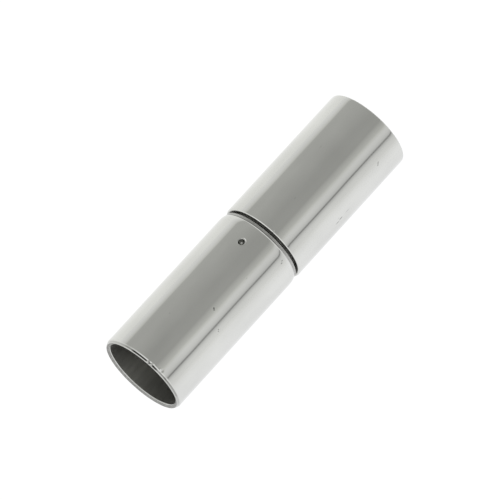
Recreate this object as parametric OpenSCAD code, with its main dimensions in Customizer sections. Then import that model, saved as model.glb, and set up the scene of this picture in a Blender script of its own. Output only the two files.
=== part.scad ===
// Twist-lock clasp for a round cord: two plain tubes that meet end to end.
// It lies on a surface along X, the socket half towards -X and the plug half towards +X.
// The origin is on the surface, under the middle of the closed clasp, and +Z is up.

/* [Tubes] */
// Outer diameter of both tubes
tube_d = 7; // [6.6:0.1:9]
// Wall around the two cord sockets
wall = 0.4; // [0.36:0.01:0.42]
// Wall around the catch, where the bore is narrower
catch_wall = 0.6; // [0.58:0.01:0.65]
// Thickness of the floor between the cord socket and the catch bore
floor_t = 0.8; // [0.5:0.1:1]
// Length of the socket half's tube
socket_len = 13.5; // [12:0.1:20]
// Length of the plug half's tube
plug_len = 12.05; // [10:0.05:20]
// Gap between the two tubes when the clasp is closed
joint_gap = 0.25; // [0.2:0.01:0.4]
// Outer edge radius of the socket tube at the joint
socket_edge = 0.3; // [0.15:0.01:0.4]
// Outer edge radius of the plug tube at the joint
plug_edge = 0.1; // [0.05:0.01:0.4]
// Inner edge radius of both tubes at the joint
inner_edge = 0.1; // [0.05:0.01:0.15]

/* [Bayonet catch] */
// Distance from the socket tube's inner end to the middle of the lugs
lug_setback = 1.85; // [1.5:0.05:2]
// Turn of the visible lug from the top of the tube, towards +Y
lug_turn = 4.6; // [-45:0.1:45]
// Radius of a lug's round tip
lug_r = 0.5; // [0.4:0.05:0.55]
// How far a lug stands into the bore
lug_reach = 0.45; // [0.35:0.05:0.5]
// Radius of the round punch that dents the outside of each lug
punch_r = 0.3; // [0.28:0.01:0.35]
// Depth of that dent below the tube's surface
dent_depth = 0.42; // [0.3:0.01:0.45]
// Play around a lug in its groove
groove_play = 0.1; // [0.08:0.01:0.15]
// Angle that the plug half turns through between open and shut
twist_angle = 60; // [40:1:90]
// Depth of the notch at the shut end of the groove
notch_depth = 0.2; // [0.1:0.05:0.3]

/* [Plug] */
// Length of the plug's barrel inside the socket tube
barrel_len = 3.8; // [3.6:0.1:4.5]
// Radial running gap between the barrel and the socket tube
run_gap = 0.05; // [0.03:0.01:0.1]
// Chamfer at the tip of the barrel
tip_chamfer = 0.3; // [0.1:0.05:0.4]
// Length of the seat that holds the plug in its tube
seat_len = 4.2; // [3:0.1:5]
// How far the seat is set back from the tube's inner end
seat_setback = 0.2; // [0.1:0.05:0.4]
// Gap around and behind the pressed-in seat
press_gap = 0.02; // [0.01:0.01:0.03]

/* [Spring] */
// Length of the space for the spring, between the socket's floor and the barrel's tip
spring_room = 2.6; // [2.4:0.1:3]
// Clearance at each end of the spring
spring_play = 0.05; // [0.03:0.01:0.1]
// Thickness of the spring's wire
wire_d = 0.4; // [0.3:0.01:0.4]
// Radius of the spring, to the middle of its wire
spring_r = 2.2; // [1.6:0.1:2.3]

/* [Hidden] */
$fn = 96;

cord_r = tube_d / 2 - wall;              // bore of the cord sockets
catch_r = tube_d / 2 - catch_wall;       // bore around the catch
total_len = socket_len + joint_gap + plug_len;
socket_x = -total_len / 2;               // outer end of the socket half
socket_end = socket_x + socket_len;      // the socket tube's end at the joint
plug_x = socket_end + joint_gap;         // the plug tube's end at the joint
lug_x = socket_end - lug_setback;
tip_x = socket_end - barrel_len;         // tip of the barrel
spring_x = tip_x - spring_room;          // the socket floor's face on the spring's side
seat_depth = seat_setback + seat_len + press_gap; // depth of the plug tube's catch bore

barrel_r = catch_r - run_gap;
seat_r = catch_r - press_gap;
groove_r = catch_r - lug_reach - groove_play; // bottom of the groove
groove_half_w = lug_r + groove_play;
groove_half_turn = asin(groove_half_w / barrel_r);
push_room = 0.2;                         // room for the push that frees a lug from its notch
past = 0.5;                              // how far a cut runs past what it cuts

spring_turns = 4;
closed_turns = 0.75;                     // close-wound turns at each end of the spring
wire_gap = 0.02;                         // between the close-wound turns
closed_pitch = wire_d + wire_gap;
ring_steps = 16;                         // rings of the wire in one turn
wire_sides = 8;

// Places a shape drawn about Z, with its +X upwards, on the clasp's axis and turns it about that axis
module on_axis(x, turn = 0) {
    translate([x, 0, tube_d / 2]) rotate([turn, 0, 0]) rotate([0, 90, 0]) rotate(180) children();
}

// Section of a wall from r0 to r1 and up to height top, with both of its upper corners rounded
module wall_end(r0, r1, top, edge) {
    height = edge + inner_edge;
    translate([r0, top - height]) square([r1 - r0, height - edge]);
    translate([r0, top - height]) square([r1 - r0 - edge, height - inner_edge]);
    translate([r0 + inner_edge, top - height]) square([r1 - r0 - inner_edge - edge, height]);
    translate([r0 + inner_edge, top - inner_edge]) circle(inner_edge);
    translate([r1 - edge, top - edge]) circle(edge);
}

// A tube from 0 to len: a rounded rim, the cord socket, a floor, and a narrower bore of the given depth
module tube(len, catch_depth, edge) {
    tube_r = tube_d / 2;
    rim = wall / 2;
    floor_end = len - catch_depth;
    floor_start = floor_end - floor_t;
    rotate_extrude() {
        translate([cord_r + rim, rim]) circle(rim);
        translate([cord_r, rim]) square([wall, floor_start - rim]);
        translate([0, floor_start]) square([tube_r, floor_t]);
        translate([catch_r, floor_end]) square([catch_wall, catch_depth - edge - inner_edge]);
        wall_end(catch_r, tube_r, len, edge);
    }
}

// The inward bump that the punch raises, kept inside the thickness of the wall
module lug() {
    intersection() {
        translate([catch_r - lug_reach + lug_r, 0, 0]) rotate([0, 90, 0]) sphere(lug_r);
        cylinder(r = catch_r + catch_wall / 2, h = 4 * lug_r, center = true);
    }
}

module dent() {
    translate([tube_d / 2 - dent_depth + punch_r, 0, 0]) rotate([0, 90, 0]) sphere(punch_r);
}

// Part of a ring between two angles and two heights, which cuts the groove out of the barrel
module groove_cut(from_turn, to_turn, low, high) {
    rotate(from_turn) rotate_extrude(angle = to_turn - from_turn)
        translate([groove_r, low]) square([catch_r - groove_r + past, high - low]);
}

// A groove for one lug, with the lug's place at height 0: a way in, a run around and a notch
module groove() {
    way_in = lug_x - tip_x;
    shut_turn = -twist_angle;
    groove_cut(-groove_half_turn, groove_half_turn, -way_in - past, groove_half_w + push_room);
    groove_cut(shut_turn - groove_half_turn, 0, -groove_half_w, groove_half_w + push_room);
    groove_cut(shut_turn - groove_half_turn, shut_turn + groove_half_turn, -groove_half_w - notch_depth, 0);
}

module socket_tube() {
    color("#cfcfca") difference() {
        union() {
            on_axis(socket_x) tube(socket_len, socket_end - spring_x, socket_edge);
            for (side = [0, 180]) on_axis(lug_x, side - lug_turn) lug();
        }
        for (side = [0, 180]) on_axis(lug_x, side - lug_turn) dent();
    }
}

module plug_tube() {
    color("#cfcfca") on_axis(plug_x + plug_len) mirror([0, 0, 1]) tube(plug_len, seat_depth, plug_edge);
}

module bayonet_plug() {
    barrel_top = plug_x + seat_setback - tip_x;
    color("#a9a9a4") difference() {
        on_axis(tip_x) rotate_extrude() polygon([
            [0, 0],
            [barrel_r - tip_chamfer, 0],
            [barrel_r, tip_chamfer],
            [barrel_r, barrel_top],
            [seat_r, barrel_top],
            [seat_r, barrel_top + seat_len],
            [0, barrel_top + seat_len]
        ]);
        for (side = [0, 180]) on_axis(lug_x, side - lug_turn) groove();
    }
}

// Height of the wire's middle after a number of turns, close-wound at both ends of the coil
function wire_rise(turn, rise) =
    let (
        open_turns = spring_turns - 2 * closed_turns,
        open_pitch = (rise - 2 * closed_turns * closed_pitch) / open_turns,
        low = min(turn, closed_turns),
        mid = min(max(turn - closed_turns, 0), open_turns),
        high = max(turn - closed_turns - open_turns, 0)
    )
    (low + high) * closed_pitch + mid * open_pitch;

// A coil spring from 0 to len: a round wire carried along a helix
module coil(len) {
    steps = spring_turns * ring_steps;
    rise = len - wire_d;
    points = [
        for (i = [0 : steps], k = [0 : wire_sides - 1])
            let (
                turn = i / ring_steps,
                around = 360 * k / wire_sides,
                r = spring_r + wire_d / 2 * cos(around)
            )
            [r * cos(360 * turn), r * sin(360 * turn), wire_d / 2 * (1 + sin(around)) + wire_rise(turn, rise)]
    ];
    sides = [
        for (i = [0 : steps - 1], k = [0 : wire_sides - 1])
            let (a = i * wire_sides, next = (k + 1) % wire_sides)
            [a + k, a + next, a + wire_sides + next, a + wire_sides + k]
    ];
    first_end = [for (k = [wire_sides - 1 : -1 : 0]) k];
    last_end = [for (k = [0 : wire_sides - 1]) steps * wire_sides + k];
    polyhedron(points, concat(sides, [first_end, last_end]));
}

module spring() {
    color("#8a8a86") on_axis(spring_x + spring_play) coil(spring_room - 2 * spring_play);
}

socket_tube();
spring();
bayonet_plug();
plug_tube();
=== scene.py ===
import math

import bpy
import numpy as np
from mathutils import Matrix, Vector


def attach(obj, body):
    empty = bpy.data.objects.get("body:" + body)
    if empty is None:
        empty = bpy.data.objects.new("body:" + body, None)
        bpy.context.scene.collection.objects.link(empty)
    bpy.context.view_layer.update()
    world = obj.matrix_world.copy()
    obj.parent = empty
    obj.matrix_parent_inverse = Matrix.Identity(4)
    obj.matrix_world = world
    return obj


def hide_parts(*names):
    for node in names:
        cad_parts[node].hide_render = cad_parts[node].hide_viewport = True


# Twist-lock clasp for a round cord, lying on a white table.
# Lengths in the dictionaries are millimetres, angles are degrees, and a turn is counted
# about the clasp's axis from straight up (+Z) towards +Y.

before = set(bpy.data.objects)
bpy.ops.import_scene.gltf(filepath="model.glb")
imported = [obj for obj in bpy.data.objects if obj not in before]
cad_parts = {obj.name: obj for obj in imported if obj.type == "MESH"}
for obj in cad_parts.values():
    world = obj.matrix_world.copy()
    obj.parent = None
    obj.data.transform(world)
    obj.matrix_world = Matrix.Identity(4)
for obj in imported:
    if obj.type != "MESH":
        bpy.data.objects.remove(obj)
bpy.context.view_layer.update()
scene = bpy.context.scene

perMetre = 1000             # millimetres

clasp = {
    "axisHeight": 3.5,      # middle of the tubes above the table
    "tubeRadius": 3.5,
    "cordRadius": 3.1,      # bore of the two cord sockets
    "catchRadius": 2.9,     # bore around the catch
    "lugPlace": -1.25,      # middle of the punched lugs along the axis
    "lugTurn": 4.6,         # turn of the lug that shows
    "lugSides": (0, 180),   # turns of the two lugs from that one
}


def socketValue(node, name, value):
    node.inputs[name].default_value = value


def noiseAt(tree, coords, stretch, scale, detail):
    # noise on object coordinates, drawn out along the axes by the stretch
    mapping = tree.nodes.new("ShaderNodeMapping")
    socketValue(mapping, "Scale", stretch)
    tree.links.new(coords, mapping.inputs["Vector"])
    noise = tree.nodes.new("ShaderNodeTexNoise")
    socketValue(noise, "Scale", scale)
    socketValue(noise, "Detail", detail)
    tree.links.new(mapping.outputs["Vector"], noise.inputs["Vector"])
    return noise.outputs["Fac"]


def mapped(tree, value, low, high, toLow=0, toHigh=1):
    node = tree.nodes.new("ShaderNodeMapRange")
    for key, v in (("From Min", low), ("From Max", high), ("To Min", toLow), ("To Max", toHigh)):
        socketValue(node, key, v)
    tree.links.new(value, node.inputs["Value"])
    return node.outputs["Result"]


def combined(tree, operation, one, two):
    node = tree.nodes.new("ShaderNodeMath")
    node.operation = operation
    for k, value in enumerate((one, two)):
        if isinstance(value, (int, float)):
            node.inputs[k].default_value = value
        else:
            tree.links.new(value, node.inputs[k])
    return node.outputs[0]


def blended(tree, share, one, two):
    # colour one where the share is 0, colour two where it is 1
    node = tree.nodes.new("ShaderNodeMix")
    node.data_type = "RGBA"
    tree.links.new(share, node.inputs[0])
    for k, value in ((6, one), (7, two)):  # the mix node's two colour inputs
        if isinstance(value, tuple):
            node.inputs[k].default_value = value + (1,)
        else:
            tree.links.new(value, node.inputs[k])
    return node.outputs[2]


def ramped(tree, value, low, high, stops):
    # colour by a value: straight lines between the stops (share of the way from low to high, colour)
    ramp = tree.nodes.new("ShaderNodeValToRGB")
    ramp.color_ramp.interpolation = "LINEAR"
    elements = ramp.color_ramp.elements
    elements[0].position, elements[1].position = stops[0][0], stops[-1][0]
    for share, color in stops[1:-1]:
        elements.new(share)
    for element, (share, color) in zip(elements, stops):
        element.color = tuple(color) + (1,)
    tree.links.new(mapped(tree, value, low, high), ramp.inputs["Fac"])
    return ramp.outputs["Color"]


def maskOf(tree, name):
    node = tree.nodes.new("ShaderNodeAttribute")
    node.attribute_name = name
    return node.outputs["Fac"]


# Light, table and camera
light = {
    # brightness of the studio tent by its angle about the clasp's axis, from straight up towards -Y
    "panels": [
        (-180, 1.04), (-116, 1.05), (-96, 1.00), (-88, 0.98), (-80, 0.90), (-74, 0.80),
        (-71.3, 0.73), (-69, 0.570), (-61, 0.552), (-47, 0.549), (-33, 0.519), (-20, 0.490),
        (-4, 0.449), (8, 0.450), (16, 0.460), (25, 0.460), (30, 0.545), (35, 0.607), (40, 0.660),
        (44, 0.79), (49.5, 0.885), (55.8, 0.86), (62.5, 0.755), (65.3, 0.61), (67.3, 0.16),
        (69.3, 0.61), (72.4, 0.75), (76.5, 0.875), (82, 0.942), (93, 1.0), (106, 1.06), (180, 1.06),
    ],
    "tint": (1.0, 1.002, 0.975),    # of the overhead panels
    "tinted": (-75, 45),            # the angles between which they are
    # bright panels at the two ends: where each begins and is full, as a share of the way to that end
    "socketEnd": (0.42, 0.80),
    "plugEnd": (0.71, 0.86),
    "endBrightness": 1.25,
    "endMiddle": (0.95, 0.99),      # the grey middle of each end, in the same shares
    "middleBrightness": 0.55,
}


def lightTent(look):
    # a tent of soft panels: brightness depends on the angle about X, atan2(-y, z), and on x near the ends
    world = bpy.data.worlds.new("studioTent")
    scene.world = world
    world.use_nodes = True
    tree = world.node_tree
    tree.nodes.clear()
    make, link = tree.nodes.new, tree.links.new
    split = make("ShaderNodeSeparateXYZ")
    link(make("ShaderNodeTexCoord").outputs["Generated"], split.inputs[0])
    across = combined(tree, "MULTIPLY", split.outputs["Y"], -1)
    around = combined(tree, "ARCTAN2", across, split.outputs["Z"])
    low, high = look["tinted"]
    stops = []
    for angle, level in look["panels"]:
        tint = look["tint"] if low < angle < high else (1, 1, 1)
        stops.append(((angle + 180) / 360, [level * c for c in tint]))
    color = ramped(tree, around, -math.pi, math.pi, stops)
    for sign, key in ((-1, "socketEnd"), (1, "plugEnd")):
        for (begins, full), level in (
            (look[key], look["endBrightness"]),
            (look["endMiddle"], look["middleBrightness"]),
        ):
            share = make("ShaderNodeMapRange")
            share.interpolation_type = "SMOOTHSTEP"
            socketValue(share, "From Min", sign * begins)
            socketValue(share, "From Max", sign * full)
            link(split.outputs["X"], share.inputs["Value"])
            color = blended(tree, share.outputs["Result"], color, (level,) * 3)
    shade = make("ShaderNodeBackground")
    link(color, shade.inputs["Color"])
    out = make("ShaderNodeOutputWorld")
    link(shade.outputs[0], out.inputs["Surface"])


lightTent(light)
print("light tent: %d panels" % len(light["panels"]))

table = {
    "halfSide": 900,                # half the side of the lit table
    # light from the table itself by its place along Y, with a painted shadow: dimmer close to the clasp, where
    # its contact shadow falls, and a little warmer behind it
    "glowAndShadow": [
        (-80, (1.0, 1.0, 1.0)), (-24, (1.075, 1.075, 1.09)), (-12, (1.115, 1.115, 1.135)),
        (-8, (1.10, 1.10, 1.125)), (-6, (1.055, 1.055, 1.075)), (-4.5, (1.01, 1.01, 1.03)),
        (-2.5, (1.0, 1.0, 1.01)), (2.5, (1.02, 1.02, 1.02)), (4.5, (1.01, 1.01, 1.01)),
        (7, (1.045, 1.045, 1.04)), (12, (1.06, 1.06, 1.045)), (22, (1.035, 1.035, 1.02)),
        (80, (1.015, 1.015, 1.0)),
    ],
    "diffuse": 0.04,                # a trace of paint, for the faintest contact shadow
}


def makeTable(look):
    # one flat square at z = 0
    half = look["halfSide"] / perMetre
    mesh = bpy.data.meshes.new("lightTable")
    corners = [(-half, -half, 0), (half, -half, 0), (half, half, 0), (-half, half, 0)]
    mesh.from_pydata(corners, [], [(0, 1, 2, 3)])
    obj = bpy.data.objects.new("lightTable", mesh)
    scene.collection.objects.link(obj)
    material = bpy.data.materials.new("glowingTablePaintedShadow")
    material.use_nodes = True
    tree = material.node_tree
    shader = tree.nodes["Principled BSDF"]
    socketValue(shader, "Base Color", (look["diffuse"],) * 3 + (1,))
    socketValue(shader, "Roughness", 1.0)
    socketValue(shader, "Specular IOR Level", 0.0)
    split = tree.nodes.new("ShaderNodeSeparateXYZ")
    tree.links.new(tree.nodes.new("ShaderNodeTexCoord").outputs["Object"], split.inputs[0])
    # the glow, painted dimmer beside the clasp as its contact shadow
    front, back = look["glowAndShadow"][0][0], look["glowAndShadow"][-1][0]
    stops = [((y - front) / (back - front), color) for y, color in look["glowAndShadow"]]
    glowAndShadow = ramped(tree, split.outputs["Y"], front / perMetre, back / perMetre, stops)
    tree.links.new(glowAndShadow, shader.inputs["Emission Color"])
    socketValue(shader, "Emission Strength", 1.0)
    mesh.materials.append(material)


makeTable(table)

camera = {
    "right": (0.641, -0.767, 0.0),
    "up": (0.701, 0.586, 0.405),
    "back": (-0.311, -0.260, 0.914),
    "lens": 352.8,                  # a long lens: the view is almost parallel
    "sensor": 36,
    "clip": (5, 20000),
    "distance": 359,
    "slide": (-0.431, 0.111),       # aim, right of and above the clasp's middle
}


def placeCamera(look):
    data = bpy.data.cameras.new("photoCamera")
    data.lens = look["lens"]
    data.sensor_width = look["sensor"]
    data.clip_start, data.clip_end = (edge / perMetre for edge in look["clip"])
    obj = bpy.data.objects.new("photoCamera", data)
    scene.collection.objects.link(obj)
    right, up, back = (Vector(look[k]).normalized() for k in ("right", "up", "back"))
    aim = Vector((0, 0, clasp["axisHeight"])) + right * look["slide"][0] + up * look["slide"][1]
    spot = (aim + back * look["distance"]) / perMetre
    turn = Matrix((right, up, back)).transposed().to_4x4()
    obj.matrix_world = Matrix.Translation(spot) @ turn
    scene.camera = obj


placeCamera(camera)
scene.view_settings.view_transform = "Standard"
scene.view_settings.look = "None"
print("table and camera placed")


# Tools for turned surfaces
def smoothStep(v):
    # rises from 0 to 1 as v does, flat at both ends: 3 v^2 - 2 v^3
    v = np.clip(v, 0, 1)
    return v * v * (3 - 2 * v)


def between(v, low, high, soft):
    # 1 between low and high, falling to 0 over the soft width at each
    return smoothStep((v - low) / soft + 0.5) * smoothStep((high - v) / soft + 0.5)


def wrapped(t, turn):
    # turn of t from another one, the short way round
    return (t - turn + math.pi) % (2 * math.pi) - math.pi


def roundedLine(corners, step=0.01, arcSteps=40):
    # A line through the corners (along, radius, fillet), as dense points about one step apart. Each fillet is
    # an arc that touches both sides, fillet * tan(bend / 2) from the corner.
    points = np.array([c[:2] for c in corners], float)
    fillets = [c[2] for c in corners]
    runs = []
    last = points[0]
    for k in range(1, len(points) - 1):
        here = points[k]
        into = here - points[k - 1]
        away = points[k + 1] - here
        into, away = into / np.hypot(*into), away / np.hypot(*away)
        bend = math.acos(np.clip(into @ away, -1, 1))
        cut = fillets[k] * math.tan(bend / 2)
        start, end = here - into * cut, here + away * cut
        count = max(2, int(np.hypot(*(start - last)) / step))
        runs.append(last + np.linspace(0, 1, count, endpoint=False)[:, None] * (start - last))
        if cut > 0:
            side = np.sign(into[0] * away[1] - into[1] * away[0])
            middle = start + fillets[k] * side * np.array([-into[1], into[0]])
            spoke = start - middle
            turns = np.linspace(0, bend * side, arcSteps, endpoint=False)[:, None]
            runs.append(middle + spoke * np.cos(turns) + np.array([-spoke[1], spoke[0]]) * np.sin(turns))
        last = end
    count = max(2, int(np.hypot(*(points[-1] - last)) / step))
    runs.append(last + np.linspace(0, 1, count)[:, None] * (points[-1] - last))
    return np.concatenate(runs)


def gradedPlaces(along, widest, growth):
    # Places along a line whose spacing is nowhere more than the widest allowed there, and grows by no more
    # than the growth from one to the next: the sum of length / spacing goes up by one at each.
    ahead = np.minimum.accumulate(widest - growth * along) + growth * along
    behind = np.minimum.accumulate((widest + growth * along)[::-1])[::-1] - growth * along
    spacing = np.minimum(ahead, behind)
    counted = np.concatenate([[0], np.cumsum(np.diff(along) * 2 / (spacing[1:] + spacing[:-1]))])
    return np.interp(np.linspace(0, counted[-1], int(np.ceil(counted[-1])) + 1), counted, along)


def rowsAlong(line, coarse, bendStep, fine=(), fineRadius=2.2):
    # Rows picked from a dense line: one for every bendStep degrees of bend, and close together
    # in each fine span (from, to, spacing) where the wall is farther out than the fineRadius.
    legs = np.hypot(*np.diff(line, axis=0).T)
    along = np.concatenate([[0], np.cumsum(legs)])
    heading = np.unwrap(np.arctan2(*np.diff(line, axis=0).T[::-1]))
    bend = np.abs(np.diff(heading)) / (0.5 * (legs[1:] + legs[:-1]))
    bend = np.concatenate([[0], bend, [0]])
    leastBend = 1e-3                # keeps a straight run from dividing by nothing
    widest = np.minimum(coarse, np.radians(bendStep) / np.maximum(bend, leastBend))
    for low, high, spacing in fine:
        inside = (line[:, 0] > low) & (line[:, 0] < high) & (line[:, 1] > fineRadius)
        widest = np.where(inside, np.minimum(widest, spacing), widest)
    places = gradedPlaces(along, widest, growth=0.35)
    return np.stack([np.interp(places, along, line[:, 0]), np.interp(places, along, line[:, 1])], axis=1)


def turnsAround(coarse, fine=(), perDegree=20):
    # Angles around the axis: coarse steps, and fine ones near each (angle, half width, step).
    # The circle begins a quarter turn away from the first of them.
    start = fine[0][0] - 90 if fine else 0
    angle = np.linspace(start, start + 360, 360 * perDegree + 1)
    widest = np.full(angle.shape, float(coarse))
    for middle, halfWidth, step in fine:
        off = np.abs((angle - middle + 180) % 360 - 180)
        widest = np.where(off < halfWidth, np.minimum(widest, step), widest)
    return np.radians(gradedPlaces(angle, widest, growth=0.2)[:-1])


def turnedSurface(name, rows, turns, shape, paint=None):
    # Surface of revolution of the rows (x, r): point = (x, r sin t, h + r cos t), with the first and
    # last rows as poles; shape(x, r, t) returns the changed radius on the whole grid, and
    # paint(x, r, t, facing) returns named masks from 0 to 1, where facing is the way the wall faces:
    # 0 outwards, 90 to an end, 180 to the axis.
    x, t = np.meshgrid(rows[1:-1, 0], turns, indexing="ij")
    r = np.meshgrid(rows[1:-1, 1], turns, indexing="ij")[0]
    facing = np.degrees(np.arctan2(np.abs(np.gradient(rows[:, 1])), np.gradient(rows[:, 0])))
    masks = paint(x, r, t, np.meshgrid(facing[1:-1], turns, indexing="ij")[0]) if paint else {}
    r = shape(x, r, t)
    h = clasp["axisHeight"]
    ring = np.stack([x, r * np.sin(t), h + r * np.cos(t)], axis=-1).reshape(-1, 3)
    poles = np.array([[rows[0, 0], 0, h], [rows[-1, 0], 0, h]])
    points = np.concatenate([ring, poles]) / perMetre
    n, m = x.shape
    a, b, quads = quadsOf(n, m)
    first = np.stack([np.full(m, n * m), a[0], b[0]], axis=-1)
    last = np.stack([a[-1], np.full(m, n * m + 1), b[-1]], axis=-1)
    mesh = bpy.data.meshes.new(name)
    mesh.from_pydata(points.tolist(), [], quads + first.tolist() + last.tolist())
    for key, mask in masks.items():
        layer = mesh.attributes.new(key, "FLOAT", "POINT")
        ends = [mask[0].mean(), mask[-1].mean()]
        layer.data.foreach_set("value", np.concatenate([mask.ravel(), ends]).astype(np.float32))
    return finishMesh(name, mesh)


def quadsOf(n, m):
    # numbers of the points in n closed rings of m, the same one step further round, and the quads
    # between the rings: each point, the next ring's, that one's neighbour and its own neighbour
    a = np.arange(n * m).reshape(n, m)
    b = np.roll(a, -1, axis=1)
    quads = np.stack([a[:-1], a[1:], b[1:], b[:-1]], axis=-1).reshape(-1, 4)
    return a, b, quads.tolist()


def finishMesh(name, mesh):
    # a smooth-shaded object of the mesh, at the origin
    mesh.polygons.foreach_set("use_smooth", np.ones(len(mesh.polygons), bool))
    mesh.update()
    obj = bpy.data.objects.new(name, mesh)
    scene.collection.objects.link(obj)
    return obj


# Metals. A noise is (stretch along the axes, scale, detail), shades are its darkest and lightest share of a
# colour, roughness goes from the smoother to the rougher, and heights are of the bump, in millimetres.
noiseMiddle = (0.35, 0.65)          # the values of a noise between which a colour changes
noiseRange = (0.3, 0.7)             # nearly all of its values

polish = {
    "color": (0.620, 0.625, 0.600),
    "shades": (0.965, 1.025),
    "clouds": ((0.5, 1, 1), 430, 2),    # slow change of tone
    "edgeTint": 1.0,                # how much of the mirror's gain at the rim of its view is kept
    "roughness": (0.055, 0.095),
    "streaks": ((0.02, 1, 1), 5200, 3),     # left by polishing along the tube
    "streakHeight": 0.00004,
    "waves": ((0.6, 1, 1), 420, 1),     # slow unevenness of the polish
    "waveHeight": 0.016,
    # the bore is left as drawn, duller than the outside
    "boreColor": (0.59, 0.59, 0.56),
    "boreShades": (0.92, 1.06),
    "boreRoughness": 0.30,          # added to the outside's
    "drawn": ((0.25, 1, 1), 3200, 4),   # drawing marks
    "boreHeight": 0.0022,
    # sawn faces of the ends, rougher and painted darker as shade
    "dullAndShadedColor": (0.31, 0.31, 0.297),
    "dullShades": (0.78, 1.22),
    "dullRoughness": 0.38,          # added to the outside's
    "sawn": ((1, 1, 1), 9000, 2),   # their grain
    # colour of the painted shade in the bore, the dents, the step and along the mouth's edge, and of the marks
    "paintedShadeColor": (0.07, 0.07, 0.065),
    "marks": [                      # nicks and scratches: along, turn, width, length, depth of colour
        (-6.47, -25.1, 0.17, 0.17, 0.85),
        (-6.55, -26.6, 0.15, 0.15, 0.75),
        (-7.28, -47.6, 0.13, 0.13, 0.60),
        (-7.36, -49.4, 0.13, 0.13, 0.55),
        (-0.14, -48.6, 0.12, 0.20, 0.60),
        (-0.29, -50.6, 0.12, 0.22, 0.65),
        (10.58, -55.7, 0.12, 0.13, 0.75),
        (10.50, -57.2, 0.12, 0.13, 0.85),
        (10.43, -58.7, 0.12, 0.13, 0.70),
        (5.32, -75.9, 0.11, 0.50, 0.60),
        (5.72, -74.6, 0.13, 0.45, 0.70),
        (6.48, -74.0, 0.11, 0.60, 0.30),
        (5.55, -71.2, 0.09, 0.14, 0.35),
        (-3.10, -30.0, 0.08, 0.10, 0.40),
        (-8.90, 10.5, 0.08, 0.10, 0.35),
        (3.90, -8.0, 0.07, 0.30, 0.20),
        (8.30, 12.0, 0.07, 0.40, 0.18),
    ],
    "markFade": (0.5, 0.2),         # how far from its middle a mark is gone and is full, in its widths
}


def newSteel(name):
    # a bare metal: its material, node tree and shader, and the object's own coordinates
    material = bpy.data.materials.new(name)
    material.use_nodes = True
    tree = material.node_tree
    shader = tree.nodes["Principled BSDF"]
    socketValue(shader, "Metallic", 1.0)
    return material, tree, shader, tree.nodes.new("ShaderNodeTexCoord").outputs["Object"]


def shaded(tree, noise, span, color, shades):
    # the colour in its shades, as the noise goes through the span
    darkest, lightest = (tuple(c * share for c in color) for share in shades)
    return blended(tree, mapped(tree, noise, *span), darkest, lightest)


def addBump(tree, shader, height, distance):
    # bump of height * distance, in metres
    bump = tree.nodes.new("ShaderNodeBump")
    socketValue(bump, "Strength", 1.0)
    socketValue(bump, "Distance", distance)
    tree.links.new(height, bump.inputs["Height"])
    tree.links.new(bump.outputs["Normal"], shader.inputs["Normal"])


def marksOf(tree, coords, marks, fade):
    # strongest of the marks at each point: full near the mark's middle and gone at its edge, where the distance
    # counts width / length as much along X
    strongest = None
    for along, turn, width, length, depth in marks:
        t, r, squeeze = math.radians(turn), clasp["tubeRadius"], width / length
        flatter = tree.nodes.new("ShaderNodeVectorMath")
        flatter.operation = "MULTIPLY"
        flatter.inputs[1].default_value = (squeeze, 1, 1)
        tree.links.new(coords, flatter.inputs[0])
        away = tree.nodes.new("ShaderNodeVectorMath")
        away.operation = "DISTANCE"
        middle = (along * squeeze, r * math.sin(t), clasp["axisHeight"] + r * math.cos(t))
        away.inputs[1].default_value = tuple(v / perMetre for v in middle)
        tree.links.new(flatter.outputs[0], away.inputs[0])
        gone, full = (width * share / perMetre for share in fade)
        spot = mapped(tree, away.outputs["Value"], gone, full, 0, depth)
        strongest = spot if strongest is None else combined(tree, "MAXIMUM", strongest, spot)
    return strongest


def polishedSteel(look):
    # mirror-polished tube with faint lengthwise polishing streaks, slow waves, a few marks, a duller bore, and
    # painted shade in the bore, the dents, the step, along the mouth's edge and on the sawn faces
    material, tree, shader, coords = newSteel("polishedSteelTube")
    clouds, streaks, waves, drawn, sawn = (
        noiseAt(tree, coords, *look[key]) for key in ("clouds", "streaks", "waves", "drawn", "sawn")
    )
    bore, dull, grime = (maskOf(tree, name) for name in ("bore", "dull", "grime"))

    steel = shaded(tree, clouds, noiseMiddle, look["color"], look["shades"])
    inside = shaded(tree, drawn, noiseMiddle, look["boreColor"], look["boreShades"])
    # sawn faces: their own grain, painted darker as shade
    faces = shaded(tree, sawn, noiseMiddle, look["dullAndShadedColor"], look["dullShades"])
    steel = blended(tree, dull, blended(tree, bore, steel, inside), faces)
    # painted shade and the marks, in one dark colour
    marksAndShade = combined(tree, "MAXIMUM", grime, marksOf(tree, coords, look["marks"], look["markFade"]))
    steel = blended(tree, marksAndShade, steel, look["paintedShadeColor"])
    tree.links.new(steel, shader.inputs["Base Color"])
    socketValue(shader, "Specular Tint", (look["edgeTint"],) * 3 + (1,))

    rough = mapped(tree, streaks, *noiseRange, *look["roughness"])
    for mask, more in ((bore, look["boreRoughness"]), (dull, look["dullRoughness"])):
        rough = combined(tree, "ADD", rough, mapped(tree, mask, 0, 1, 0, more))
    tree.links.new(rough, shader.inputs["Roughness"])

    height = combined(tree, "MULTIPLY", streaks, look["streakHeight"])
    height = combined(tree, "ADD", height, combined(tree, "MULTIPLY", waves, look["waveHeight"]))
    inBore = combined(tree, "MULTIPLY", bore, look["boreHeight"])
    height = combined(tree, "ADD", height, combined(tree, "MULTIPLY", drawn, inBore))
    addBump(tree, shader, height, 1 / perMetre)
    return material


turned = {
    "color": (0.47, 0.47, 0.45),
    "shades": (0.94, 1.04),
    "patches": ((1, 1, 1), 700, 2),
    "roughness": (0.18, 0.28),
    "rings": ((1, 0.01, 0.01), 16000, 2),
    "ringHeight": 0.0003,
}


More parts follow.
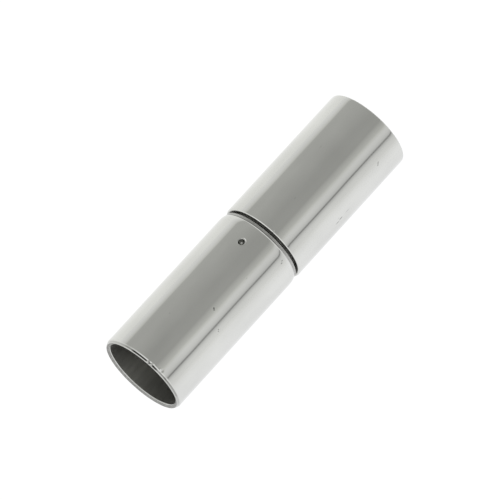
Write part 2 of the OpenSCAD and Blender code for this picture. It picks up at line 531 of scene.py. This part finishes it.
def turnedSteel(look):
    # lathe-turned bar with fine rings around the axis
    material, tree, shader, coords = newSteel("turnedSteelBar")
    rings = noiseAt(tree, coords, *look["rings"])
    patches = noiseAt(tree, coords, *look["patches"])
    tree.links.new(shaded(tree, patches, noiseMiddle, look["color"], look["shades"]), shader.inputs["Base Color"])
    tree.links.new(mapped(tree, rings, *noiseRange, *look["roughness"]), shader.inputs["Roughness"])
    addBump(tree, shader, rings, look["ringHeight"] / perMetre)
    return material


springLook = {
    "color": (0.42, 0.42, 0.40),
    "shades": (0.85, 1.1),
    "mottle": ((1, 1, 1), 2500, 3),
    "roughness": (0.22, 0.34),
}


def springSteel(look):
    # drawn spring wire with a slightly mottled oxide tone
    material, tree, shader, coords = newSteel("drawnSpringWire")
    mottle = noiseAt(tree, coords, *look["mottle"])
    tree.links.new(shaded(tree, mottle, noiseRange, look["color"], look["shades"]), shader.inputs["Base Color"])
    tree.links.new(mapped(tree, mottle, *noiseRange, *look["roughness"]), shader.inputs["Roughness"])
    return material


tubeSteel = polishedSteel(polish)
barSteel = turnedSteel(turned)
wireSteel = springSteel(springLook)
print("metals mixed")


# What the two tubes share. The way a wall faces is 0 outwards, 90 to an end and 180 to the axis.
tubeWall = {
    "outside": (3.12, 0.3),         # radius where the outside's changes of shape begin, and how slowly
    "outsideTo": 95,                # the way the wall faces up to which its outside is painted
    "boreFrom": (160, 15),          # and from which it is drawn bore, coming in over so many degrees
    "nearMouth": 12,                # distance from the clasp's middle beyond which an end is a mouth
    "dullTo": (142, 132),           # the way it faces up to which a mouth and an end at the joint are sawn
    "jointDullFrom": 72,            # and from which that is so at the joint
    "dullSoft": (8, 16),            # degrees over which the sawn face comes in and goes out
    "paintedBoreShade": (0.31, 153, 22),        # painted shade in the bore: depth of colour, and the middle and width of the strip it leaves lighter
    "runSoft": 6,                   # degrees over which a run of turns comes in and goes out
}


def onOutside(r):
    # 1 for the outer wall, 0 for the bore
    begins, width = tubeWall["outside"]
    return smoothStep((r - begins) / width)


def inRun(t, middle, half):
    # 1 in a run of turns, 0 away from it
    return between(np.degrees(wrapped(t, math.radians(middle))), -half, half, tubeWall["runSoft"])


def tubeMasks(x, t, facing, mouthDullFrom):
    # bore: drawn wall inside; sawn faces of the ends, rougher and painted darker as shade;
    # painted shade in the bore, darker away from a lighter strip, depth * (1 - e^-(turn from that strip /
    # width)^2)
    depth, middle, width = tubeWall["paintedBoreShade"]
    paintedBoreShade = depth * (1 - np.exp(-(wrapped(t, math.radians(middle)) / math.radians(width)) ** 2))
    boreFrom, boreSoft = tubeWall["boreFrom"]
    bore = smoothStep((facing - boreFrom) / boreSoft)
    mouth = np.abs(x) > tubeWall["nearMouth"]
    dullFrom = np.where(mouth, mouthDullFrom, tubeWall["jointDullFrom"])
    dullTo = np.where(mouth, *tubeWall["dullTo"])
    softIn, softOut = tubeWall["dullSoft"]
    dull = smoothStep((facing - dullFrom) / softIn) * smoothStep((dullTo - facing) / softOut)
    return {"bore": bore, "dull": dull, "grime": paintedBoreShade * bore}


def rolledOff(x, place, direction, length, depth, power):
    # how far polishing has rounded the wall down on the way to a place: depth * (share of the length)^power
    share = np.clip((x - place) * direction / length + 1, 0, 1)
    return depth * share ** power


def crumbs(x, t, specks):
    # heights of small crumbs on the wall: height * e^-(distance / width)^2, with their places as (along, turn)
    total = 0 * x
    for along, turn, width, height in specks:
        off = np.hypot(x - along, clasp["tubeRadius"] * wrapped(t, math.radians(turn)))
        total = total + height * np.exp(-(off / width) ** 2)
    return total


def fromLug(x, t, side, radius, place):
    # distances along and around the tube's wall from a lug
    return x - place, radius * wrapped(t, math.radians(clasp["lugTurn"] + side))


# Socket tube
socketTube = {
    "mouth": -12.9,
    "end": 0.6,                     # its end at the joint
    "floor": (-6.6, -5.8),          # the floor between the cord socket and the catch
    "floorFillet": 0.15,
    "innerEdge": 0.1,
    "rim": [                        # corners of the mouth: in from the mouth, below the outside, radius
        (0.15, 0.40, 0.09), (0.0, 0.15, 0.03), (0.08, 0.085, 0.03), (0.17, 0.050, 0.02), (0.26, 0.0, 0.05),
    ],
    "mouthRoll": (0.35, 0.02, 2),   # polished-off roll before the mouth: length, depth, power
    "jointRoll": (0.52, 0.066, 2.5),    # the same before the joint's step
    "jointStep": (0.318, 0.06, 0.035),  # that sharp step: how far from the end, length, depth
    "stepEdges": (0.07, 0.03),      # radii of its upper and lower edge
    "jointLip": (0.05, 0.06),       # how far the lip past the step falls, and the radius of its edge
    "lipDullAndShaded": (0.7, 0.03),         # how dull that lip is, and so how much darker it is painted as shade, and over what length it becomes so
    "stepShade": (0.06, 0.038, 0.95),    # painted shade line in the step's crease: past its start, width, depth of colour
    "lighterStepShade": (-62, 27, 0.55),   # a run where that painted shade is lighter: middle, half, share taken off
    "mouthDullFrom": 36.6,          # the way the mouth's edge faces where its sawn face begins
    "edgeShadeLine": (0.059, 0.177, 0.014),  # painted shade line along that edge: from, to, softness
    "edgeShadeBase": 0.3,                # its least depth of colour
    "edgeShade": [(-4.2, 19.2, 0.7), (-46, 26.9, 0.25)],  # where it is deeper: middle and half of a run, depth added
    "specks": [                     # crumbs on that edge: along, turn, width, height
        (-12.76, -11.0, 0.065, 0.055), (-12.70, -13.4, 0.060, -0.050), (-12.77, -15.6, 0.060, 0.055),
        (-12.68, -18.2, 0.060, -0.050), (-12.66, -27.4, 0.075, 0.072), (-12.58, -30.2, 0.065, -0.060),
    ],
    # breaks in that painted shade line: along, turn, width, share taken off
    "edgeShadeBreaks": [(-12.78, -9.7, 0.09, 1.0), (-12.79, -15.0, 0.10, 1.0)],
    "dentPlace": -1.29,
    "dentDepth": 0.34,
    "dentRadius": 0.215,
    "dentForm": (0.4, 9),           # share of the depth that its floor loses outwards, steepness of its wall
    "dentLip": (0.024, 0.036, -38),  # height all round, extra height on one side, that side's turn from +X
    "lipForm": (1.35, 0.28),        # middle and width of the lip, in dent radii
    "dentShadeRing": (0.75, 0.95, 0.3),  # painted shade ring in the dent: depth of colour, middle and width in dent radii
    "lugReach": 0.45,
    "lugRadius": 0.5,
}


def punched(x, r, t, side, look):
    # Change of the radius at one lug, with s = distance / dent radius. Outside, a hollow with a steep wall,
    # -depth (1 - lost s^2) / (1 + s^steepness), and on the dent that shows a soft raised lip,
    # height * e^-((s - middle) / width)^2. Inside, a round cap: -reach * sqrt(1 - (distance / lug radius)^2).
    along, around = fromLug(x, t, side, clasp["tubeRadius"], look["dentPlace"])
    s = np.hypot(along, around) / look["dentRadius"]
    lost, steepness = look["dentForm"]
    hollow = look["dentDepth"] * (1 - lost * np.minimum(s, 1) ** 2) / (1 + s ** steepness)
    height, extra, toSide = look["dentLip"]
    middle, width = look["lipForm"]
    leaning = np.maximum(np.cos(np.arctan2(around, along) - math.radians(toSide)), 0) ** 2
    lip = (side == 0) * (height + extra * leaning) * np.exp(-((s - middle) / width) ** 2)
    out = np.hypot(*fromLug(x, t, side, clasp["catchRadius"], clasp["lugPlace"])) / look["lugRadius"]
    cap = look["lugReach"] * np.sqrt(np.clip(1 - out ** 2, 0, 1))
    outside = onOutside(r)
    return outside * (lip - hollow) - (1 - outside) * cap


def makeSocketTube(look):
    tubeR, cordR, catchR = clasp["tubeRadius"], clasp["cordRadius"], clasp["catchRadius"]
    low, high = look["floor"]
    stepBack, stepLength, stepDepth = look["jointStep"]
    lipFall, lipEdge = look["jointLip"]
    upperEdge, lowerEdge = look["stepEdges"]
    step = look["end"] - stepBack
    line = roundedLine([
        (low, 0, 0),
        (low, cordR, look["floorFillet"]),
        *((look["mouth"] + into, tubeR - below, edge) for into, below, edge in look["rim"]),
        (step, tubeR, upperEdge),
        (step + stepLength, tubeR - stepDepth, lowerEdge),
        (look["end"], tubeR - stepDepth - lipFall, lipEdge),
        (look["end"], catchR, look["innerEdge"]),
        (high, catchR, look["floorFillet"]),
        (high, 0, 0),
    ])
    place = clasp["lugPlace"]
    rows = rowsAlong(line, coarse=0.8, bendStep=10, fine=[
        (place - 0.4, place + 0.4, 0.024),              # dents and lugs
        (step - 0.6, look["end"], 0.05),                # roll-off and lip
        (step - 0.06, step + 0.15, 0.013),              # step and its painted shade line
        (look["mouth"], look["mouth"] + 0.3, 0.016),    # rim, its crumbs and its painted shade line
    ])
    turns = turnsAround(coarse=2.0, fine=[
        (clasp["lugTurn"], 7, 0.38),                    # the dent that shows
        (clasp["lugTurn"] + 180, 8.5, 0.7),             # the hidden one
        (-14.7, 5, 0.5), (-29, 2.5, 0.5),               # the two runs of specks
    ])

    def shape(x, r, t):
        drop = rolledOff(x, step, 1, *look["jointRoll"])
        drop = drop + rolledOff(x, look["mouth"], -1, *look["mouthRoll"])
        changed = r + onOutside(r) * (crumbs(x, t, look["specks"]) - drop)
        for side in clasp["lugSides"]:
            changed = changed + punched(x, r, t, side, look)
        return changed

    def paint(x, r, t, facing):
        outside = facing < tubeWall["outsideTo"]
        # painted shade in the dents
        depth, middle, width = look["dentShadeRing"]
        away = [np.hypot(*fromLug(x, t, side, tubeR, look["dentPlace"])) for side in clasp["lugSides"]]
        ring = depth * np.exp(-((np.minimum(*away) / look["dentRadius"] - middle) / width) ** 2)
        # painted shade line in the step
        past, width, depth = look["stepShade"]
        middle, half, share = look["lighterStepShade"]
        stepShade = depth * np.exp(-((x - step - past) / width) ** 2) * (1 - share * inRun(t, middle, half))
        # painted shade line on the mouth's edge
        edgeShade = look["edgeShadeBase"]
        for middle, half, share in look["edgeShade"]:
            edgeShade = edgeShade + share * inRun(t, middle, half)
        edgeShade = edgeShade * between(x - look["mouth"], *look["edgeShadeLine"])
        edgeShade = edgeShade * np.maximum(1 - crumbs(x, t, look["edgeShadeBreaks"]), 0)

        masks = tubeMasks(x, t, facing, look["mouthDullFrom"])
        # painted shade of the bore, the dent rings, the step and the mouth's edge
        masks["grime"] = np.maximum(masks["grime"], outside * np.maximum.reduce([edgeShade, ring, stepShade]))
        # the lip past the step is rougher and painted darker as shade
        lipDullAndShaded, lipSoft = look["lipDullAndShaded"]
        lip = outside * smoothStep((x - step - past) / lipSoft)
        masks["dull"] = np.maximum(masks["dull"], lipDullAndShaded * lip)
        return masks

    return turnedSurface("socketShell", rows, turns, shape, paint)


socketShell = makeSocketTube(socketTube)
socketShell.data.materials.append(tubeSteel)
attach(socketShell, "socket_half")
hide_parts("socket_tube")
print("socket tube: %d faces" % len(socketShell.data.polygons))


# Plug tube. What isn't explained here is as in the socket tube.
plugTube = {
    "start": 0.79,                  # its end at the joint
    "mouth": 12.9,
    "floor": (5.27, 6.07),
    "cordFillet": 0.15,
    "catchFillet": 0.03,
    "jointEdge": 0.12,
    "innerEdge": 0.1,
    "rim": [(0.13, 0.40, 0.09), (0.0, 0.14, 0.04), (0.0, 0.0, 0.07)],  # sharper than the socket tube's
    "mouthRoll": (0.35, 0.02, 2),
    "jointRoll": (0.3, 0.025, 2),
    "jointDullAndShaded": 0.58,              # how dull its end at the joint is next to a sawn face, and so how much of that face's painted shade it gets
    "mouthDullFrom": 30,
    "specks": [(0.84, -16.3, 0.05, 0.035), (0.96, -16.6, 0.06, -0.02)],  # a crumb on the joint's edge
}


def makePlugTube(look):
    tubeR, cordR, catchR = clasp["tubeRadius"], clasp["cordRadius"], clasp["catchRadius"]
    low, high = look["floor"]
    line = roundedLine([
        (low, 0, 0),
        (low, catchR, look["catchFillet"]),
        (look["start"], catchR, look["innerEdge"]),
        (look["start"], tubeR, look["jointEdge"]),
        *((look["mouth"] - into, tubeR - below, edge) for into, below, edge in look["rim"][::-1]),
        (high, cordR, look["cordFillet"]),
        (high, 0, 0),
    ])
    rows = rowsAlong(line, coarse=0.6, bendStep=9, fine=[
        (look["start"], look["start"] + 0.3, 0.02),     # edge and roll-off at the joint
        (look["mouth"] - 0.5, look["mouth"], 0.05),     # rim
    ])
    turns = turnsAround(coarse=1.8, fine=[(-16.4, 3, 0.35)])    # the crumb

    def shape(x, r, t):
        drop = rolledOff(x, look["start"], -1, *look["jointRoll"])
        drop = drop + rolledOff(x, look["mouth"], 1, *look["mouthRoll"])
        return r + onOutside(r) * (crumbs(x, t, look["specks"]) - drop)

    def paint(x, r, t, facing):
        masks = tubeMasks(x, t, facing, look["mouthDullFrom"])
        # its end at the joint gets only part of the sawn faces' roughness and painted shade
        masks["dull"] = masks["dull"] * np.where(x < low, look["jointDullAndShaded"], 1)
        return masks

    return turnedSurface("plugShell", rows, turns, shape, paint)


plugShell = makePlugTube(plugTube)
plugShell.data.materials.append(tubeSteel)
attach(plugShell, "plug_half")
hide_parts("plug_tube")
print("plug tube: %d faces" % len(plugShell.data.polygons))


# Bayonet plug
plugBar = {
    "tip": -3.2,
    "shoulder": 1.05,               # where the barrel ends and the seat begins
    "end": 5.25,
    "barrelRadius": 2.85,
    "seatRadius": 2.88,
    "tipChamfer": 0.3,
    "edge": 0.05,                   # radius of its edges
    "shoulderEdge": 0.01,
    "grooveRadius": 2.35,           # bottom of the grooves
    "grooveShare": 0.98,            # of the height above it, taken off: the rest keeps the tip's faces apart
    "grooveHalfWidth": 0.6,
    "grooveEdge": 0.05,             # width of the rounded groove walls
    "twist": 60,                    # run of the groove from its way in to its shut end
    "pushRoom": 0.2,
    "notchDepth": 0.2,
    "wallRows": (0.06, 0.014),      # rows close together about a groove's wall: reach, spacing
}


def makeBayonetPlug(look):
    barrelR, seatR = look["barrelRadius"], look["seatRadius"]
    chamfer, edge = look["tipChamfer"], look["edge"]
    line = roundedLine([
        (look["tip"], 0, 0),
        (look["tip"], barrelR - chamfer, edge),
        (look["tip"] + chamfer, barrelR, edge),
        (look["shoulder"], barrelR, look["shoulderEdge"]),
        (look["shoulder"], seatR, look["shoulderEdge"]),
        (look["end"], seatR, edge),
        (look["end"], 0, 0),
    ])
    lug, half = clasp["lugPlace"], look["grooveHalfWidth"]
    notchEnd, runLow, runHigh = lug - half - look["notchDepth"], lug - half, lug + half + look["pushRoom"]
    reach, spacing = look["wallRows"]
    rows = rowsAlong(line, coarse=0.3, bendStep=12, fine=[
        (place - reach, place + reach, spacing) for place in (notchEnd, runLow, runHigh)
    ])
    halfTurn, twist = math.degrees(math.asin(half / barrelR)), look["twist"]
    wallTurns = (-halfTurn, halfTurn, twist - halfTurn, twist + halfTurn)
    walls = [clasp["lugTurn"] + side + turn for side in clasp["lugSides"] for turn in wallTurns]
    turns = turnsAround(coarse=2.0, fine=[(wall, 1.0, 0.3) for wall in walls])

    def shape(x, r, t):
        # two hooked grooves, each a way in from the tip, a run around and a notch at its shut end:
        # the height above their bottom is taken off where one of the three is 1
        soft, beforeTip = look["grooveEdge"], look["tip"] - 1
        width, far = barrelR * math.radians(halfTurn), barrelR * math.radians(twist)
        cut = np.zeros(x.shape)
        for side in clasp["lugSides"]:
            turn = math.radians(clasp["lugTurn"] + side)
            around = barrelR * (((t - turn + math.pi / 2) % (2 * math.pi)) - math.pi / 2)
            wayIn = between(x, beforeTip, runHigh, soft) * between(around, -width, width, soft)
            run = between(x, runLow, runHigh, soft) * between(around, -width, far + width, soft)
            notch = between(x, notchEnd, runHigh, soft) * between(around, far - width, far + width, soft)
            cut = np.maximum.reduce([cut, wayIn, run, notch])
        return r - look["grooveShare"] * cut * np.maximum(r - look["grooveRadius"], 0)

    return turnedSurface("bayonetBar", rows, turns, shape)


bayonetBar = makeBayonetPlug(plugBar)
bayonetBar.data.materials.append(barSteel)
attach(bayonetBar, "plug_half")
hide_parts("bayonet_plug")
print("bayonet plug: %d faces" % len(bayonetBar.data.polygons))


# Spring
coil = {
    "start": -5.75,
    "length": 2.5,
    "radius": 2.2,
    "wire": 0.4,
    "turns": 4,
    "closedTurns": 0.75,            # close-wound at each end
    "closedPitch": 0.42,
    "ringsPerTurn": 64,
    "sides": 16,
}


def makeSpring(look):
    # A round wire along a helix: middle = (rise, -R sin u, h + R cos u), and around it the wire's circle
    # (w sin v along the axis, w cos v outwards). The pitch is closed at both ends.
    steps = look["turns"] * look["ringsPerTurn"]
    turn = np.linspace(0, look["turns"], steps + 1)
    closed, pitch = look["closedTurns"], look["closedPitch"]
    openTurns = look["turns"] - 2 * closed
    openPitch = (look["length"] - look["wire"] - 2 * closed * pitch) / openTurns
    rise = (pitch * (np.minimum(turn, closed) + np.maximum(turn - closed - openTurns, 0))
            + openPitch * np.clip(turn - closed, 0, openTurns))
    v = np.linspace(0, 2 * np.pi, look["sides"], endpoint=False)
    w = look["wire"] / 2
    u = 2 * np.pi * turn
    r = look["radius"] + w * np.cos(v)[None, :]
    along = look["start"] + w + rise[:, None] + w * np.sin(v)[None, :]
    h = clasp["axisHeight"]
    points = np.stack([along, -r * np.sin(u)[:, None], h + r * np.cos(u)[:, None]], axis=-1)
    a, b, quads = quadsOf(*along.shape)
    mesh = bpy.data.meshes.new("springWire")
    faces = quads + [a[0].tolist(), a[-1][::-1].tolist()]
    mesh.from_pydata((points.reshape(-1, 3) / perMetre).tolist(), [], faces)
    obj = finishMesh("springWire", mesh)
    ends = np.zeros(len(mesh.polygons), bool)
    ends[-2:] = True
    mesh.polygons.foreach_set("use_smooth", ~ends)
    return obj


springWire = makeSpring(coil)
springWire.data.materials.append(wireSteel)
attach(springWire, "spring")
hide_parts("spring")
print("spring: %d faces" % len(springWire.data.polygons))
